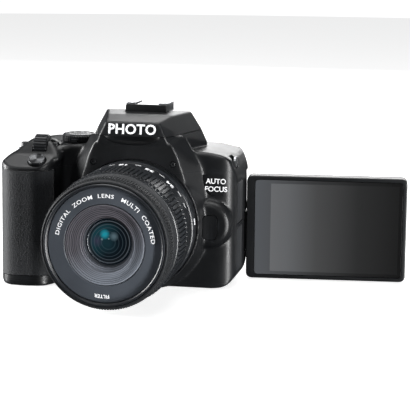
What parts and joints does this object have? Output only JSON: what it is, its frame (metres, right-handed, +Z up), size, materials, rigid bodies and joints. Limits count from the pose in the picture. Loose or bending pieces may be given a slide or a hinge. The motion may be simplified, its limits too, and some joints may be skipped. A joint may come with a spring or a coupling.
{
  "type": "dslr camera",
  "caption": "Digital single-lens reflex camera with zoom lens, pop-up flash, hot shoe, grip and a side-hinged screen swung out.",
  "frame": {"origin": "on the base plate under the lens axis, midway between the lens flange and the image plane", "axes": "+X towards the side with the swung-out screen (right when seen from the front), -Y the way the lens looks, +Z up"},
  "size_m": [0.2051, 0.1256, 0.0925],
  "materials": {
    "black_casing": "fine grained satin moulding",
    "dark_trim": "satin",
    "grip_rubber": "leather grained rubber",
    "soft_rubber": "smooth matt rubber",
    "lens_black": "satin lens barrel plastic",
    "light_trap": "flat black ridged",
    "coated_glass": "multi coated optical glass",
    "clear_plastic": "moulded clear plastic",
    "screen_gloss": "polished dark glass",
    "steel_parts": "fine brushed stainless",
    "button_metal": "radially spun",
    "mirror_silver": "front silvered",
    "circuit_board": "green solder mask",
    "battery_case": "satin",
    "card_case": "satin"
  },
  "bodies": {
    "body": {"front_cover": "black_casing", "rear_cover": "black_casing", "top_cover": "black_casing", "bottom_plate": "black_casing", "grip_skin": "grip_rubber", "thumb_rest": "grip_rubber", "tripod_bush": "steel_parts", "mirror_box": "light_trap", "focusing_screen": "clear_plastic", "pentamirror": "light_trap", "shutter_unit": "light_trap", "image_sensor": "screen_gloss", "main_board": "circuit_board", "battery": "battery_case", "memory_card": "card_case", "lens_mount_ring": "steel_parts", "hot_shoe": "steel_parts", "strap_lug_left": "steel_parts", "strap_lug_right": "steel_parts", "eyepiece_lens": "coated_glass", "eyepiece_frame": "dark_trim", "eyecup": "soft_rubber"},
    "mirror": {"reflex_mirror": "mirror_silver"},
    "flash": {"flash_head": "black_casing", "flash_lamp": "clear_plastic"},
    "mode_dial": {"mode_dial": "dark_trim"},
    "power_switch": {"power_switch": "dark_trim"},
    "main_dial": {"main_dial": "dark_trim"},
    "shutter_button": {"shutter_button": "button_metal"},
    "iso_button": {"iso_button": "dark_trim"},
    "disp_button": {"disp_button": "dark_trim"},
    "lens_release": {"lens_release_button": "black_casing"},
    "exposure_button": {"exposure_button": "dark_trim"},
    "playback_button": {"playback_button": "dark_trim"},
    "delete_button": {"delete_button": "dark_trim"},
    "ae_lock_button": {"ae_lock_button": "dark_trim"},
    "af_point_button": {"af_point_button": "dark_trim"},
    "menu_button": {"menu_button": "dark_trim"},
    "info_button": {"info_button": "dark_trim"},
    "live_view_button": {"live_view_button": "dark_trim"},
    "cross_key": {"cross_key": "dark_trim"},
    "set_button": {"set_button": "dark_trim"},
    "battery_door": {"battery_door": "black_casing"},
    "mic_port_door": {"mic_port_door": "soft_rubber"},
    "hdmi_port_door": {"hdmi_port_door": "soft_rubber"},
    "screen_arm": {"hinge_arm": "dark_trim"},
    "screen": {"screen_housing": "black_casing", "screen_glass": "screen_gloss", "lcd_panel": "screen_gloss", "screen_back": "black_casing"},
    "lens": {"lens_barrel": "lens_black", "rear_element": "coated_glass"},
    "zoom_ring": {"zoom_ring": "lens_black"},
    "front_group": {"inner_barrel": "lens_black", "name_ring": "lens_black", "lens_baffle": "light_trap", "front_element": "coated_glass", "middle_element": "coated_glass"},
    "focus_ring": {"focus_ring": "lens_black"}
  },
  "joints": [
    {"name": "mirror_flip", "type": "hinge", "parent": "body", "child": "mirror", "pos_m": [0, 0.0066, 0.0504], "axis": [-1, 0, 0], "range_deg": [0, 45], "stiffness_Nm_per_rad": 0.002, "springref_deg": -17.19},
    {"name": "flash_raise", "type": "hinge", "parent": "body", "child": "flash", "pos_m": [0, 0.0132, 0.088], "axis": [-1, 0, 0], "range_deg": [0, 50]},
    {"name": "mode_select", "type": "hinge", "parent": "body", "child": "mode_dial", "pos_m": [-0.0347, 0.003, 0.074], "axis": [0, 0, -1], "continuous": true},
    {"name": "power_turn", "type": "hinge", "parent": "body", "child": "power_switch", "pos_m": [-0.0347, 0.003, 0.072], "axis": [0, 0, -1], "range_deg": [0, 40]},
    {"name": "main_dial_turn", "type": "hinge", "parent": "body", "child": "main_dial", "pos_m": [-0.051, -0.0105, 0.0703], "axis": [1, 0, 0], "continuous": true},
    {"name": "shutter_press", "type": "slide", "parent": "body", "child": "shutter_button", "axis": [0, 0.4924, -0.8704], "range_m": [0, 0.0015], "stiffness_N_per_m": 400, "springref_m": -0.001},
    {"name": "iso_press", "type": "slide", "parent": "body", "child": "iso_button", "axis": [0, 0, -1], "range_m": [0, 0.0007], "stiffness_N_per_m": 400, "springref_m": -0.001},
    {"name": "disp_press", "type": "slide", "parent": "body", "child": "disp_button", "axis": [0, 0, -1], "range_m": [0, 0.0007], "stiffness_N_per_m": 400, "springref_m": -0.001},
    {"name": "lens_release_press", "type": "slide", "parent": "body", "child": "lens_release", "axis": [0, 1, 0], "range_m": [0, 0.0018], "stiffness_N_per_m": 400, "springref_m": -0.001},
    {"name": "exposure_press", "type": "slide", "parent": "body", "child": "exposure_button", "axis": [0, -1, 0], "range_m": [0, 0.0007], "stiffness_N_per_m": 400, "springref_m": -0.001},
    {"name": "playback_press", "type": "slide", "parent": "body", "child": "playback_button", "axis": [0, -1, 0], "range_m": [0, 0.0007], "stiffness_N_per_m": 400, "springref_m": -0.001},
    {"name": "delete_press", "type": "slide", "parent": "body", "child": "delete_button", "axis": [0, -1, 0], "range_m": [0, 0.0007], "stiffness_N_per_m": 400, "springref_m": -0.001},
    {"name": "ae_lock_press", "type": "slide", "parent": "body", "child": "ae_lock_button", "axis": [0, -1, 0], "range_m": [0, 0.0007], "stiffness_N_per_m": 400, "springref_m": -0.001},
    {"name": "af_point_press", "type": "slide", "parent": "body", "child": "af_point_button", "axis": [0, -1, 0], "range_m": [0, 0.0007], "stiffness_N_per_m": 400, "springref_m": -0.001},
    {"name": "menu_press", "type": "slide", "parent": "body", "child": "menu_button", "axis": [0, -1, 0], "range_m": [0, 0.0007], "stiffness_N_per_m": 400, "springref_m": -0.001},
    {"name": "info_press", "type": "slide", "parent": "body", "child": "info_button", "axis": [0, -1, 0], "range_m": [0, 0.0007], "stiffness_N_per_m": 400, "springref_m": -0.001},
    {"name": "live_view_press", "type": "slide", "parent": "body", "child": "live_view_button", "axis": [0, -1, 0], "range_m": [0, 0.0007], "stiffness_N_per_m": 400, "springref_m": -0.001},
    {"name": "cross_key_press", "type": "slide", "parent": "body", "child": "cross_key", "axis": [0, -1, 0], "range_m": [0, 0.0006], "stiffness_N_per_m": 400, "springref_m": -0.001},
    {"name": "set_press", "type": "slide", "parent": "body", "child": "set_button", "axis": [0, -1, 0], "range_m": [0, 0.0007], "stiffness_N_per_m": 400, "springref_m": -0.001},
    {"name": "battery_door_turn", "type": "hinge", "parent": "body", "child": "battery_door", "pos_m": [-0.0473, -0.004, 0.0002], "axis": [0, -1, 0], "range_deg": [0, 95]},
    {"name": "mic_port_door_turn", "type": "hinge", "parent": "body", "child": "mic_port_door", "pos_m": [0.0507, -0.004, 0.0435], "axis": [0, 0, 1], "range_deg": [-100, 0]},
    {"name": "hdmi_port_door_turn", "type": "hinge", "parent": "body", "child": "hdmi_port_door", "pos_m": [0.0507, -0.004, 0.0193], "axis": [0, 0, 1], "range_deg": [-100, 0]},
    {"name": "screen_swing", "type": "hinge", "parent": "body", "child": "screen_arm", "pos_m": [0.0486, 0.0255, 0.0252], "axis": [0, 0, -1], "range_deg": [-175, 0]},
    {"name": "screen_tilt", "type": "hinge", "parent": "screen_arm", "child": "screen", "pos_m": [0.05148, 0.02124, 0.0279], "axis": [-0.9962, -0.0872, 0], "range_deg": [0, 270]},
    {"name": "lens_twist", "type": "hinge", "parent": "body", "child": "lens", "pos_m": [0, -0.025, 0.034], "axis": [0, -1, 0], "range_deg": [0, 60]},
    {"name": "zoom_turn", "type": "hinge", "parent": "lens", "child": "zoom_ring", "pos_m": [0, -0.05, 0.034], "axis": [0, -1, 0], "range_deg": [0, 70]},
    {"name": "zoom_extend", "type": "slide", "parent": "lens", "child": "front_group", "axis": [0, -1, 0], "range_m": [0, 0.014]},
    {"name": "focus_turn", "type": "hinge", "parent": "front_group", "child": "focus_ring", "pos_m": [0, -0.075, 0.034], "axis": [0, -1, 0], "continuous": true}
  ],
  "couplings": [
    {"joint": "zoom_extend", "follows": "zoom_turn", "m_per_rad": 0.011459}
  ]
}
